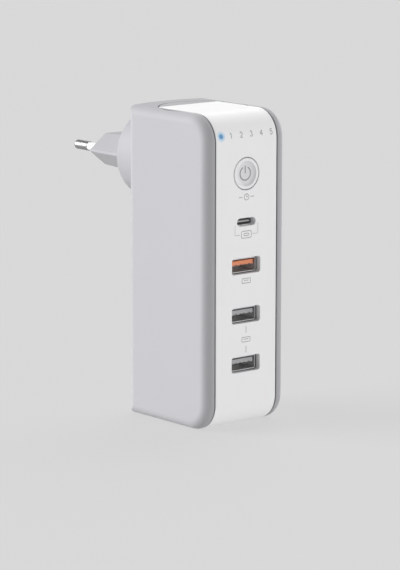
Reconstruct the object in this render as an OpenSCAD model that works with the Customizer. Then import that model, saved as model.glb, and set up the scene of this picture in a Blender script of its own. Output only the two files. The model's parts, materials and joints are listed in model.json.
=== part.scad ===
// Desktop smart charger: a tall housing with a wrap-round front cover, an
// indicator row, a timer button, one USB-C and three USB-A sockets, and a
// two-pin mains plug on its back. Millimetres. The front faces -Y, the pins
// point along +Y, and the origin is the middle of the housing's foot.

/* [Body] */
// Width of the housing
body_w = 42.5; // [40:0.5:50]
// Depth of the housing in the middle of its bowed back, without the plug
body_d = 54; // [52:0.5:62]
// Height of the housing
body_h = 130; // [128:1:150]
// Radius of the front corners, seen from the side
corner_r = 11.5; // [9:0.5:12]
// Radius of the long side edges
edge_r = 4; // [2.5:0.25:4.5]
// Radius of the upright rear edges, seen from above
rear_corner_r = 4; // [3:0.25:5]
// Bow of the back face, from its edges to its middle
back_bow = 2.8; // [1:0.2:4]
// Radius of the top and bottom edges of the back face
rear_edge_r = 1.4; // [0.6:0.2:2]
// Thickness of the housing's walls
wall_t = 2; // [1.6:0.1:2.4]
// Thickness of the rear panel that closes the housing
panel_t = 2; // [2:0.1:2.6]
// Flat stretch of the panel's sides, in front of its corners
panel_side = 1.2; // [0.8:0.2:2]

/* [Front cover] */
// Width of the housing's border on each side of the cover
border_w = 4.65; // [4.6:0.05:5.5]
// Gap between the cover and the border
cover_gap = 0.4; // [0.2:0.05:0.6]
// Thickness of the cover
cover_t = 2.4; // [2:0.1:2.6]
// Radius of the cover's outer edges
cover_edge_r = 0.5; // [0.3:0.05:0.6]
// Radius of the cover's rear corners, seen from above
cover_corner_r = 1.4; // [1.2:0.1:3]
// Radius of the housing's edges along the groove
groove_edge_r = 0.3; // [0.1:0.05:0.35]
// How far the cover stops short of the back face
cover_rear_inset = 15.9; // [12:0.1:18]
// Width of the ledge under the edge of the cover
ledge_w = 2; // [1.5:0.1:2.5]
// Thickness of that ledge
ledge_t = 1.8; // [1.4:0.1:2.2]

/* [Indicators] */
// Height of the indicator row below the top of the housing
row_drop = 8.7; // [7:0.1:12]
// Distance from the outer marks to the edges of the cover
row_margin = 2.95; // [2.8:0.05:4]
// Diameter of the lens of the lit mark
lens_d = 1.8; // [1.2:0.1:2.4]

/* [Timer button] */
// Distance from the indicator row down to the button
button_step = 16.1; // [15.6:0.1:18]
// Diameter of the button cap
button_d = 12.8; // [11:0.1:13.4]
// Gap round the button cap
button_gap = 0.4; // [0.2:0.05:0.6]
// Diameter of the dish in the cap
dish_d = 10.4; // [8:0.1:10.6]
// Depth of the dish
dish_depth = 0.9; // [0.5:0.05:1.2]
// Radius of the hollow's wall
dish_wall_r = 2.5; // [1.5:0.1:3]
// Radius of the outer edge of the cap
cap_edge_r = 0.4; // [0.1:0.05:0.6]
// Travel of the button
button_travel = 0.4; // [0.2:0.05:0.5]

/* [Sockets] */
// Distance from the button down to the USB-C socket
socket_c_step = 19.75; // [18.5:0.05:22]
// Distance from the USB-C socket down to the first USB-A socket
socket_a_step = 18.05; // [15:0.05:20]
// Distance between two USB-A sockets
socket_a_pitch = 20.4; // [16:0.1:20.6]
// Width of a USB-A cut-out in the cover
cut_a_w = 15; // [14:0.1:16]
// Height of a USB-A cut-out in the cover
cut_a_h = 6.6; // [6:0.1:8]
// Corner radius of a USB-A cut-out
cut_a_r = 1.1; // [0.5:0.1:1.5]
// Radius of the edges round the cut-outs
cut_edge_r = 0.25; // [0.1:0.05:0.4]
// Width of the USB-C cut-out in the cover
cut_c_w = 9.8; // [9.4:0.1:11]
// Height of the USB-C cut-out in the cover
cut_c_h = 3.3; // [3.2:0.1:4.5]
// Depth from the front face to the metal shells
shell_recess = 1.9; // [1.5:0.1:2.6]
// Thickness of the metal shells
shell_t = 0.3; // [0.2:0.05:0.4]

/* [Plug] */
// Height of the plug below the top of the housing
plug_drop = 22.5; // [21:0.5:26]
// Diameter of the round base of the plug
base_d = 37.2; // [35:0.2:40]
// Length of the round base behind the middle of the back
base_len = 8; // [6:0.5:12]
// Width of the six-sided head at its face
head_w = 34; // [32:0.2:34.6]
// Height of the six-sided head at its face
head_h = 13.4; // [13:0.1:14.4]
// Distance that the slanting faces of the head take in from each side
head_slant = 7.4; // [6.7:0.1:8.2]
// Length of the six-sided head
head_len = 20.25; // [18:0.25:24]
// Growth of the head from its face to the base, on each side
head_draft = 0.8; // [0:0.1:1.2]
// Diameter of a pin
pin_d = 4; // [3.9:0.05:4.1]
// Length of a pin in front of the head
pin_len = 19; // [18:0.5:20]
// Length of the insulating sleeve in front of the head
sleeve_len = 10; // [8:0.5:12]
// Diameter of the insulating sleeve
sleeve_d = 3.6; // [3.4:0.05:3.65]
// Distance between the pins
pin_pitch = 18; // [17:0.1:19]

/* [Boards] */
// Thickness of the socket board and the mains board
board_t = 1.6; // [1:0.1:2]
// Thickness of the control board
control_t = 1.2; // [0.8:0.1:1.6]
// Height of the socket board's lower end above the foot
board_foot = 12; // [11:0.5:14]
// Depth from the front face to the control board
control_depth = 9; // [8.5:0.1:10]
// Depth from the front face to the socket board
socket_depth = 16; // [15:0.5:17]
// Distance from the rear panel to the mains board
mains_gap = 3; // [2.5:0.1:4]
// Distance from the mains board to the ends of the housing
mains_margin = 8; // [5:0.5:9]
// Clearance between parts that fit in each other
fit = 0.15; // [0.05:0.05:0.3]

/* [Hidden] */
$fn = 96;

front_y = -body_d / 2;
rear_y = body_d / 2;
side_end_y = rear_y - back_bow - rear_corner_r;
panel_y = side_end_y - panel_side;
// The bow: an arc tangent to the two upright corners
corner_x = body_w / 2 - rear_corner_r;
bow_r = rear_corner_r + (corner_x * corner_x + back_bow * back_bow) / (2 * back_bow);
bow_angle = asin(corner_x / (bow_r - rear_corner_r));
y_mid = front_y + corner_r;
slot_w = body_w - 2 * border_w;
cover_w = slot_w - 2 * cover_gap;
cover_end_y = rear_y - cover_rear_inset;
seat_t = cover_t + fit;
shell_in = seat_t + ledge_t;
inner_w = body_w - 2 * wall_t;
opening_w = slot_w - 2 * ledge_w;

row_z = body_h - row_drop;
row_count = 6;
row_pitch = (cover_w - 2 * row_margin) / (row_count - 1);
button_z = row_z - button_step;
socket_c_z = button_z - socket_c_step;
function socket_a_z(i) = socket_c_z - socket_a_step - (i - 1) * socket_a_pitch;

// USB-A socket, the standard's own sizes
tongue_a_w = 11.1;
tongue_a_t = 1.84;
mouth_a_w = 12.5;
mouth_a_h = 5.12;
mouth_a_depth = 9;
tongue_a_top = 0.7;
tongue_set_back = 0.5;
// USB-C socket, the standard's own sizes
mouth_c_w = 8.34;
mouth_c_h = 2.56;
mouth_c_depth = 6.2;
tongue_c_w = 6.69;
tongue_c_t = 0.7;
shell_c_len = 8;

button_flange = 1;
flange_t = 0.8;
cap_t = cover_t + fit;
stem_r = 1.6;
plunger_r = 1.75;
switch_w = 6;
switch_h = 3.5;
plunger_seat = 0.8;

control_y = front_y + control_depth;
switch_y = control_y - switch_h;
plunger_y = switch_y - button_travel - 0.8;
socket_y = front_y + socket_depth;
mains_front = panel_y - mains_gap - board_t;
mains_back = mains_front + board_t;
bay = mains_front - (socket_y + board_t);

plug_z = body_h - plug_drop;
base_y = rear_y + base_len;
face_y = base_y + head_len;
spigot_r = base_d / 2 - 3.6;
shank_t = 0.45;
shank_r = sleeve_d / 2 - shank_t;
pin_boss_r = sleeve_d / 2 + 1.5;
// How tightly the pins and sleeves sit in their bores
bore_ease = 0.01;
sleeve_seat = 5;

// An outline in (Y, Z) drawn out along X
module along_x(w) {
    rotate([90, 0, 90]) linear_extrude(w, center = true) children();
}

// An outline in (X, Z) drawn out along Y, from y0 to y1
module along_y(y0, y1) {
    translate([0, y1, 0]) rotate([90, 0, 0]) linear_extrude(y1 - y0) children();
}

// A round bar along Y, from y0 to y1
module bar_y(r, y0, y1, x = 0, z = 0) {
    translate([x, y1, z]) rotate([90, 0, 0]) cylinder(r = r, h = y1 - y0);
}

// A block along Y, centred on x and z
module block_y(w, h, y0, y1, x = 0, z = 0) {
    translate([x - w / 2, y0, z - h / 2]) cube([w, y1 - y0, h]);
}

// A rectangle with round corners, centred
module round_rect(w, h, r) {
    square([w - 2 * r, h], center = true);
    square([w, h - 2 * r], center = true);
    for (x = [-1, 1], y = [-1, 1])
        translate([x * (w / 2 - r), y * (h / 2 - r)]) circle(r);
}

// The body from the side, set in by d, as far back as y_end
module side_outline(d, y_end) {
    translate([y_mid, d]) square([y_end - y_mid, body_h - 2 * d]);
    translate([front_y + d, corner_r]) square([corner_r - d, body_h - 2 * corner_r]);
    for (z = [corner_r, body_h - corner_r])
        translate([y_mid, z]) circle(corner_r - d);
}

// Half of a plate's section with a round edge: the first axis runs out to w, the second
// through the plate, from its outer face
module edge_section(w, t, r) {
    translate([0, r]) square([w, t - r]);
    square([w - r, t]);
    intersection() {
        translate([w - r, r]) circle(r);
        translate([w - r, 0]) square(r);
    }
}

// A cut of half width w and depth d, whose edge at the outer face is rounded off outwards
module flare_section(w, d, r) {
    translate([0, -1]) square([w, d + 1]);
    difference() {
        translate([w - 0.1, -1]) square([r + 0.1, 1 + r]);
        translate([w + r, r]) circle(r);
    }
}

// A round hole through the front with a rounded edge
module round_cut(r, depth, edge, z) {
    translate([0, front_y, z]) mirror([0, 1, 0]) rotate([90, 0, 0]) rotate_extrude()
        flare_section(r, depth, edge);
}

// A rectangular hole through the front with round corners and a rounded edge
module window_cut(w, h, r, depth, edge, z) {
    translate([0, front_y, z]) mirror([0, 1, 0]) rotate([90, 0, 0]) {
        for (turn = [0, 1]) mirror([turn, 0, 0]) {
            translate([0, h / 2 - r, 0]) rotate([90, 0, 0]) linear_extrude(h - 2 * r)
                flare_section(w / 2, depth, edge);
            for (up = [0, 1]) mirror([0, up, 0]) translate([w / 2 - r, h / 2 - r, 0])
                rotate_extrude(angle = 90) flare_section(r, depth, edge);
        }
        for (up = [0, 1]) mirror([0, up, 0]) translate([r - w / 2, 0, 0]) rotate([90, 0, 90])
            linear_extrude(w - 2 * r) flare_section(h / 2, depth, edge);
    }
}

// A section and its mirror image
module both_ways() {
    children();
    mirror([1, 0]) children();
}

// A section swept over the foot, the front and the top, back to y_end: its first axis runs
// across and its second inwards from the outer face
module wrap(y_end) {
    translate([0, front_y, corner_r]) linear_extrude(body_h - 2 * corner_r) children();
    for (top = [0, 1]) translate([0, 0, body_h / 2]) mirror([0, 0, top])
        translate([0, 0, -body_h / 2]) {
            translate([0, y_end, 0]) rotate([90, 0, 0]) linear_extrude(y_end - y_mid) children();
            translate([0, y_mid, corner_r]) mirror([0, 1, 0]) rotate([0, 90, 0])
                rotate_extrude(angle = 90) translate([corner_r, 0]) rotate(90) children();
        }
}

// The rear ends of such a strip on the foot and the top, w wide with corner radius r: the
// section's first axis runs out to the edge, and its second inwards from the outer face
module wrap_ends(w, r, y_end) {
    for (top = [0, 1]) translate([0, 0, body_h / 2]) mirror([0, 0, top])
        translate([0, 0, -body_h / 2]) {
            translate([0, y_end - r, 0]) along_x(w - 2 * r) children();
            for (side = [0, 1]) mirror([side, 0, 0]) translate([w / 2 - r, y_end - r, 0])
                rotate_extrude(angle = 90) children();
        }
}

// One front corner of the housing, a quarter of a wheel with a round rim
module corner_block() {
    rotate([180, 0, 0]) rotate([0, 90, 0]) rotate_extrude(angle = 90)
        intersection() {
            round_rect(2 * corner_r, body_w, edge_r);
            translate([0, -body_w / 2]) square([corner_r, body_w]);
        }
}

// The outside of the housing, up to the rear panel
module housing_outside() {
    translate([0, 0, body_h / 2]) along_y(y_mid, panel_y) round_rect(body_w, body_h, edge_r);
    translate([0, 0, corner_r]) linear_extrude(body_h - 2 * corner_r)
        intersection() {
            translate([0, y_mid]) round_rect(body_w, 2 * corner_r, edge_r);
            translate([-body_w / 2, front_y]) square([body_w, corner_r]);
        }
    translate([0, y_mid, body_h - corner_r]) corner_block();
    translate([0, y_mid, corner_r]) mirror([0, 0, 1]) corner_block();
}

rib_t = 1.4;
rib_depth = 1.6;
board_drop = 5;
rib_short = 10;
board_top = button_z - board_drop;
rib_z0 = board_foot + 4;
rib_z1 = board_top - rib_short;
// How far the housing stays thick behind the seat of the cover
step_y = cover_end_y + ledge_t;
line_r = 18.4;
line_y = 0.25;
line_t = 0.35;
line_depth = 0.4;
slot_corner_r = cover_corner_r + cover_gap;

module rear_housing() {
    color("silver") {
        difference() {
            housing_outside();
            // Seat of the cover, with its rounded edge
            wrap(cover_end_y - slot_corner_r)
                both_ways() flare_section(slot_w / 2, seat_t, groove_edge_r);
            wrap_ends(slot_w, slot_corner_r, cover_end_y)
                flare_section(slot_corner_r, seat_t, groove_edge_r);
            // Opening inside the ledge
            along_x(opening_w) side_outline(-1, cover_end_y - ledge_w);
            // Inside, open at the back
            along_x(inner_w) side_outline(shell_in, step_y);
            translate([-inner_w / 2, step_y - 0.5, wall_t])
                cube([inner_w, rear_y - step_y + 0.5, body_h - 2 * wall_t]);
            // Curved line in the top, behind the cover
            intersection() {
                translate([0, line_y, body_h - line_depth]) difference() {
                    cylinder(r = line_r + line_t / 2, h = 1);
                    translate([0, 0, -1]) cylinder(r = line_r - line_t / 2, h = 3);
                }
                translate([-body_w / 2, cover_end_y - 1, body_h - 1])
                    cube([body_w, panel_y - cover_end_y, 2]);
            }
        }
        // Ribs that hold the edges of the socket board
        for (x = [-1, 1], y = [socket_y - fit - rib_t, socket_y + board_t + fit])
            translate([x * (inner_w - rib_depth) / 2 - rib_depth / 2, y, rib_z0])
                cube([rib_depth, rib_t, rib_z1 - rib_z0]);
    }
}

// Lip of the rear panel inside the housing, and the bosses of the mains board
lip_t = 1.2;
lip_len = mains_gap - 2 * fit;
boss_r = 3;
pilot_r = 0.9;
screw_x = inner_w / 2 - fit - lip_t - boss_r + 0.4;
screw_zs = [12, plug_z - spigot_r - boss_r - 3.5];

// Upright section from r_in out to r_out, whose outer corners are rounded
module upright_section(r_in, r_out) {
    intersection() {
        translate([0, body_h / 2]) round_rect(2 * r_out, body_h, rear_edge_r);
        translate([r_in, 0]) square([r_out - r_in, body_h]);
    }
}

// Round body about the axis of the bow
module bow_cylinder(r) {
    translate([0, rear_y - bow_r, 0]) cylinder(r = r, h = body_h);
}

// Outside of the rear panel: short flat sides, round corners and the bowed back
module panel_outside() {
    intersection() {
        translate([0, 0, body_h / 2]) along_y(panel_y, rear_y + 1)
            round_rect(body_w, body_h, edge_r);
        union() {
            translate([-body_w / 2, panel_y, 0]) cube([body_w, panel_side, body_h]);
            for (side = [0, 1]) mirror([side, 0, 0]) translate([corner_x, side_end_y, 0])
                rotate_extrude(angle = 90 - bow_angle) upright_section(0, rear_corner_r);
            translate([0, rear_y - bow_r, 0]) rotate([0, 0, 90 - bow_angle])
                rotate_extrude(angle = 2 * bow_angle)
                    upright_section(bow_r - (rear_y - panel_y) - 1, bow_r);
        }
    }
}

module rear_panel() {
    lip_w = inner_w - 2 * fit;
    lip_h = body_h - 2 * wall_t - 2 * fit;
    color("silver") {
        difference() {
            union() {
                panel_outside();
                translate([0, 0, body_h / 2]) along_y(panel_y - lip_len, panel_y + 0.1)
                    square([lip_w, lip_h], center = true);
            }
            // Inside of the lip and of the bowed wall
            intersection() {
                translate([0, 0, body_h / 2]) along_y(panel_y - lip_len - 1, rear_y)
                    square([lip_w - 2 * lip_t, lip_h - 2 * lip_t], center = true);
                bow_cylinder(bow_r - panel_t);
            }
            // Hole for the spigot of the plug
            bar_y(spigot_r + fit, panel_y - 1, rear_y + 1, 0, plug_z);
        }
        for (x = [-1, 1], z = screw_zs) difference() {
            intersection() {
                bar_y(boss_r, mains_back, rear_y, x * screw_x, z);
                bow_cylinder(bow_r - panel_t / 2);
            }
            bar_y(pilot_r, mains_back - 1, panel_y - 0.5, x * screw_x, z);
        }
    }
}

hook_h = 6;
hook_t = 1;
hook_catch = 0.7;
hook_len = 0.95;
hook_zs = [for (i = [1:4]) socket_a_z(i) + socket_a_pitch / 2];

// One snap hook of the cover, at height z: it grips the back of the ledge
module cover_hook(side, z) {
    hook_x = opening_w / 2 - fit - hook_t;
    grip_y = front_y + shell_in + fit;
    mirror([side, 0, 0]) translate([hook_x, 0, z - hook_h / 2]) {
        translate([0, front_y + cover_t - 0.1, 0])
            cube([hook_t, grip_y + hook_len - front_y - cover_t + 0.1, hook_h]);
        translate([0, grip_y, 0]) cube([hook_t + hook_catch, hook_len, hook_h]);
    }
}

post_r = 1.6;
post_pin_r = 0.6;
post_x = 11;
post_zs = [button_z - 8, button_z + 9.5];

module front_cover() {
    color("white") {
        difference() {
            union() {
                wrap(cover_end_y - slot_corner_r)
                    both_ways() edge_section(cover_w / 2, cover_t, cover_edge_r);
                wrap_ends(cover_w, cover_corner_r, cover_end_y - cover_gap)
                    edge_section(cover_corner_r, cover_t, cover_edge_r);
            }
            bar_y(lens_d / 2 + fit / 2, front_y - 1, front_y + corner_r, row_x(1), row_z);
            round_cut(button_d / 2 + button_gap, cover_t + 1, cut_edge_r, button_z);
            window_cut(cut_c_w, cut_c_h, cut_c_h / 2 - 0.01, cover_t + 1, cut_edge_r, socket_c_z);
            for (i = [1:3])
                window_cut(cut_a_w, cut_a_h, cut_a_r, cover_t + 1, cut_edge_r, socket_a_z(i));
        }
        // Posts that carry the control board, with the pins that hold it
        for (x = [-1, 1], z = post_zs) {
            bar_y(post_r, front_y + cover_t - 0.1, control_y, x * post_x, z);
            bar_y(post_pin_r, control_y - 0.1, control_y + control_t + post_pin_r, x * post_x, z);
        }
        // Snap hooks
        for (side = [0, 1], z = hook_zs) cover_hook(side, z);
    }
}

function row_x(i) = (i - (row_count + 1) / 2) * row_pitch;

guide_y0 = control_y - 2.6;
guide_y1 = control_y - 1.2;
guide_h = 2.4;
guide_half = row_x(row_count) + 2.2;
guide_foot = 1.2;
stub_r = 0.9;
led_w = 1.6;
led_h = 1;
led_t = 0.8;
header_w = 15.2;
header_h = 2.54;

module indicator_lens() {
    color("deepskyblue") intersection() {
        bar_y(lens_d / 2, front_y, guide_y0, row_x(1), row_z);
        along_x(body_w) side_outline(0, rear_y);
    }
}

module light_guide() {
    color("ghostwhite") {
        block_y(2 * guide_half, guide_h, guide_y0, guide_y1, 0, row_z);
        // Stubs behind the printed marks, up to the cover's curved inside
        for (i = [2:row_count]) intersection() {
            bar_y(stub_r, front_y, guide_y0 + 0.1, row_x(i), row_z);
            along_x(body_w) side_outline(cover_t + fit, rear_y);
        }
        // Feet on the control board
        for (x = [-1, 1])
            block_y(guide_foot, guide_h, guide_y1 - 0.1, control_y,
                x * (guide_half - guide_foot / 2), row_z);
    }
}

module power_button() {
    color("whitesmoke") {
        cap_r = button_d / 2;
        dish_r = dish_d / 2;
        // How far the dish's wall reaches in from its rim to the flat floor
        reach = sqrt(dish_depth * (2 * dish_wall_r - dish_depth));
        difference() {
            union() {
                translate([0, front_y, button_z]) mirror([0, 1, 0]) rotate([90, 0, 0])
                    rotate_extrude() edge_section(cap_r, cap_t, cap_edge_r);
                bar_y(cap_r + button_gap + button_flange, front_y + cap_t,
                    front_y + cap_t + flange_t, 0, button_z);
                bar_y(stem_r, front_y + cap_t, plunger_y, 0, button_z);
            }
            translate([0, front_y + dish_depth, button_z]) rotate([90, 0, 0]) rotate_extrude()
                edge_section(dish_r - reach + dish_wall_r, dish_wall_r + 1, dish_wall_r);
        }
    }
}

module switch_plunger() {
    color("dimgray") bar_y(plunger_r, plunger_y, switch_y + plunger_seat, 0, button_z);
}

module tact_switch() {
    color("gray") difference() {
        block_y(switch_w, switch_w, switch_y, control_y, 0, button_z);
        bar_y(plunger_r + fit, switch_y - 1, switch_y + plunger_seat + 2 * button_travel,
            0, button_z);
    }
}

module status_leds() {
    color("ivory") for (i = [1:row_count])
        block_y(led_w, led_h, control_y - led_t, control_y, row_x(i), row_z);
}

board_edge = 2.5;
board_waist = row_z - 3;

module control_board() {
    narrow_w = 2 * (post_x + post_r + 0.2);
    wide_w = 2 * (guide_half + 0.2);
    z0 = post_zs[0] - board_edge;
    color("darkgreen") difference() {
        union() {
            translate([-narrow_w / 2, control_y, z0])
                cube([narrow_w, control_t, board_waist - z0]);
            translate([-wide_w / 2, control_y, board_waist])
                cube([wide_w, control_t, row_z + board_edge - board_waist]);
        }
        for (x = [-1, 1], z = post_zs)
            bar_y(post_pin_r + fit, control_y - 1, control_y + control_t + 1, x * post_x, z);
    }
}

module board_header() {
    color("black")
        block_y(header_w, header_h, control_y + control_t, socket_y, 0, post_zs[0]);
}

module socket_board() {
    board_w = inner_w - 2 * fit;
    color("darkgreen")
        translate([-board_w / 2, socket_y, board_foot])
            cube([board_w, board_t, board_top - board_foot]);
}

shell_y = front_y + shell_recess;
shell_a_r = 0.6;
// Windows of the two contact springs in the upper wall of a USB-A shell
spring_x = 3.4;
spring_w = 2;
spring_len = 4.4;
spring_inset = 2.4;

module usb_a_shell(i) {
    w = mouth_a_w + 2 * shell_t;
    h = mouth_a_h + 2 * shell_t;
    color("gainsboro") translate([0, 0, socket_a_z(i)]) difference() {
        along_y(shell_y, socket_y) round_rect(w, h, shell_a_r);
        along_y(shell_y - 1, socket_y + 1) round_rect(mouth_a_w, mouth_a_h, shell_a_r / 2);
        for (x = [-spring_x, spring_x]) translate([x - spring_w / 2, shell_y + spring_inset, 0])
            cube([spring_w, spring_len, h]);
    }
}

contact_xs = [-3.5, -1, 1, 3.5];
contact_w = 1.2;
contact_t = 0.3;
contact_inset = 1.2;
contact_z = mouth_a_h / 2 - tongue_a_top - tongue_a_t + contact_t / 2;

module usb_a_tongue(i) {
    colors = ["darkorange", "dimgray", "dimgray"];
    tongue_z = mouth_a_h / 2 - tongue_a_top - tongue_a_t / 2;
    block_y0 = shell_y + mouth_a_depth;
    color(colors[i - 1]) translate([0, 0, socket_a_z(i)]) difference() {
        union() {
            along_y(shell_y + tongue_set_back, block_y0 + 0.1)
                translate([0, tongue_z]) square([tongue_a_w, tongue_a_t], center = true);
            block_y(mouth_a_w - 2 * fit, mouth_a_h - 2 * fit, block_y0, socket_y);
        }
        for (x = contact_xs) block_y(contact_w, contact_t, front_y, socket_y + 1, x, contact_z);
    }
}

module usb_a_contacts(i) {
    y0 = shell_y + tongue_set_back + contact_inset;
    color("gold") translate([0, 0, socket_a_z(i)])
        for (x = contact_xs) block_y(contact_w, contact_t, y0, socket_y, x, contact_z);
}

module usb_c_shell() {
    w = mouth_c_w + 2 * shell_t;
    h = mouth_c_h + 2 * shell_t;
    color("gainsboro") translate([0, 0, socket_c_z]) difference() {
        along_y(shell_y, shell_y + shell_c_len) round_rect(w, h, h / 2 - 0.01);
        along_y(shell_y - 1, shell_y + shell_c_len + 1)
            round_rect(mouth_c_w, mouth_c_h, mouth_c_h / 2 - 0.01);
    }
}

module usb_c_tongue() {
    w = mouth_c_w + 2 * shell_t;
    h = mouth_c_h + 2 * shell_t;
    color("dimgray") translate([0, 0, socket_c_z]) {
        block_y(tongue_c_w, tongue_c_t, shell_y + tongue_set_back, shell_y + mouth_c_depth + 0.1);
        along_y(shell_y + mouth_c_depth, shell_y + shell_c_len)
            round_rect(mouth_c_w - 2 * fit, mouth_c_h - 2 * fit, mouth_c_h / 2 - fit - 0.01);
        block_y(w, h, shell_y + shell_c_len, socket_y);
    }
}

chip_w = 5;
chip_t = 0.9;
chip_x = 8;

module charge_chips() {
    color("black") for (i = [1:3])
        block_y(chip_w, chip_w, socket_y + board_t, socket_y + board_t + chip_t,
            chip_x, socket_a_z(i));
}

// The mains side: everything stands on the front of the mains board
mains_w = inner_w - 2 * fit - 1;
screw_hole_r = 1.1;

module mains_board() {
    color("darkgreen") difference() {
        translate([-mains_w / 2, mains_front, mains_margin])
            cube([mains_w, board_t, body_h - 2 * mains_margin]);
        for (x = [-1, 1], z = screw_zs)
            bar_y(screw_hole_r, mains_front - 1, mains_back + 1, x * screw_x, z);
    }
}

link_w = 8;
link_t = 2.6;
link_x = -11.5;

module power_link() {
    color("black")
        block_y(link_w, link_t, socket_y + board_t, mains_front, link_x, board_foot + 4);
}

// Sizes of the parts on the mains board
bulk_r = 6.3;
bulk_x = 8;
bulk_len = bay - 3;
output_r = 4;
output_len = 13;
output_xs = [-1.5, 8.5];
film_w = 15;
film_h = 8;
film_len = 11;
disc_r = 4;
disc_t = 3;
disc_lift = 1.5;
lead_w = 0.8;
choke_r = 7;
choke_bore_r = 3;
choke_len = 10;
fuse_r = 4;
fuse_len = 8;
bridge_w = 10;
bridge_t = 3.4;
opto_w = 6.5;
opto_h = 4.6;
opto_len = 3.5;
sink_w = 26;
sink_t = 1.6;
sink_len = bay - 4.8;
fin_t = 1.2;
fin_h = 3.2;
fin_pitch = 5.5;
transistor_w = 10;
transistor_len = 14;
transistor_t = 4.4;
leg_len = 3;

// Where they stand: the upper parts hang on the plug and the screws below it, the others
// follow down the board
can_z = screw_zs[1] + boss_r + 5;
fuse_z = plug_z - 3;
fuse_x = fuse_r + 1.6 - mains_w / 2;
bridge_x = -3;
bridge_z = plug_z - 0.5;
choke_x = 9;
choke_z = plug_z + 5.5;
film_x = -8;
film_z = plug_z + 9.5;
sink_z = screw_zs[1] - boss_r - 3.5;
core_z = sink_z - 19.5;
low_z = core_z - 19;
output_z = low_z - 12;
disc_x = 12.5;
transistor_x = -7;

core_w = 28;
core_d = bay - 5.8;
core_t = 12;
core_lift = 0.8;
core_y = mains_front - core_lift - core_d / 2;
leg_w = 8;
window_w = 6.4;
window_d = core_d - window_w;

module transformer_core() {
    color("darkslategray") translate([0, core_y, core_z - core_t / 2]) linear_extrude(core_t)
        difference() {
            square([core_w, core_d], center = true);
            for (x = [-1, 1]) translate([x * (leg_w + window_w) / 2, 0])
                square([window_w, window_d], center = true);
        }
}

bobbin_w = leg_w + 2 * window_w - 2 * fit;
bobbin_h = core_t + 14;
bobbin_t = 0.6;
flange_len = 1;
rail_h = 3;
winding_r = 3;
// Room of the middle leg, and the tube of the bobbin round it
leg_room_w = leg_w + 2 * fit;
leg_room_h = core_t + 2 * fit;

module transformer_bobbin() {
    y0 = core_y - window_d / 2;
    y1 = core_y + window_d / 2;
    color("black") difference() {
        union() {
            block_y(bobbin_w, bobbin_h, y0, y1, 0, core_z);
            // Pin rails down to the board
            for (z = [-1, 1])
                block_y(bobbin_w, rail_h, y1 - flange_len, mains_front,
                    0, core_z + z * (bobbin_h - rail_h) / 2);
        }
        difference() {
            block_y(bobbin_w + 1, bobbin_h + 1, y0 + flange_len, y1 - flange_len, 0, core_z);
            block_y(leg_room_w + 2 * bobbin_t, leg_room_h + 2 * bobbin_t, y0, y1, 0, core_z);
        }
        block_y(leg_room_w, leg_room_h, y0 - 1, y1 + 1, 0, core_z);
    }
}

module transformer_winding() {
    y_half = window_d / 2 - flange_len;
    color("goldenrod") translate([0, 0, core_z]) difference() {
        along_y(core_y - y_half, core_y + y_half) round_rect(bobbin_w, bobbin_h - 1, winding_r);
        block_y(leg_room_w + 2 * bobbin_t, leg_room_h + 2 * bobbin_t,
            core_y - y_half - 1, core_y + y_half + 1);
    }
}

can_groove_r = 0.5;
can_groove_z = 2.2;
can_crimp = 1;
can_top_depth = 0.3;

// A can capacitor on the mains board, with a groove near its foot
module can(r, len, x, z) {
    translate([x, mains_front, z]) rotate([90, 0, 0]) rotate_extrude() difference() {
        square([r, len]);
        translate([r, can_groove_z]) circle(can_groove_r);
        translate([0, len - can_top_depth]) square([r - can_crimp, 1]);
    }
}

module bulk_capacitors() {
    color("black") for (x = [-bulk_x, bulk_x]) can(bulk_r, bulk_len, x, can_z);
}

module output_capacitors() {
    color("navy") for (x = output_xs) can(output_r, output_len, x, output_z);
}

module suppression_capacitor() {
    color("gold") block_y(film_w, film_h, mains_front - film_len, mains_front, film_x, film_z);
}

module safety_capacitor() {
    color("royalblue") translate([disc_x, mains_front, low_z]) {
        translate([0, -disc_r - disc_lift, 0]) rotate([0, 90, 0])
            cylinder(r = disc_r, h = disc_t, center = true);
        for (z = [-1, 1]) block_y(lead_w, lead_w, -disc_r, 0, 0, z * disc_r * 0.6);
    }
}

module line_choke() {
    color("darkred") difference() {
        bar_y(choke_r, mains_front - choke_len, mains_front, choke_x, choke_z);
        bar_y(choke_bore_r, mains_front - choke_len - 1, mains_front + 1, choke_x, choke_z);
    }
}

module input_fuse() {
    color("tan") bar_y(fuse_r, mains_front - fuse_len, mains_front, fuse_x, fuse_z);
}

module bridge_rectifier() {
    color("black")
        block_y(bridge_w, bridge_t, mains_front - bridge_w, mains_front, bridge_x, bridge_z);
}

module heat_sink() {
    color("silver") {
        block_y(sink_w, sink_t, mains_front - sink_len, mains_front, 0, sink_z);
        for (k = [-2:2])
            translate([k * fin_pitch - fin_t / 2, mains_front - sink_len, sink_z])
                cube([fin_t, sink_len - 2, sink_t / 2 + fin_h]);
    }
}

module power_transistor() {
    mid_z = sink_z - (sink_t + transistor_t) / 2;
    color("black") {
        block_y(transistor_w, transistor_t, mains_front - leg_len - transistor_len,
            mains_front - leg_len, transistor_x, mid_z);
        for (x = [-2.54, 0, 2.54])
            block_y(lead_w, lead_w, mains_front - leg_len - 0.1, mains_front,
                transistor_x + x, mid_z);
    }
}

module optocoupler() {
    color("white") block_y(opto_w, opto_h, mains_front - opto_len, mains_front, 0, low_z);
}

screw_head_r = 2;
screw_head_t = 1.4;

module board_screws() {
    color("silver") for (x = [-1, 1], z = screw_zs) {
        bar_y(pilot_r - 0.05, mains_front - 0.1, panel_y - 0.6, x * screw_x, z);
        bar_y(screw_head_r, mains_front - screw_head_t, mains_front, x * screw_x, z);
    }
}

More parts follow.
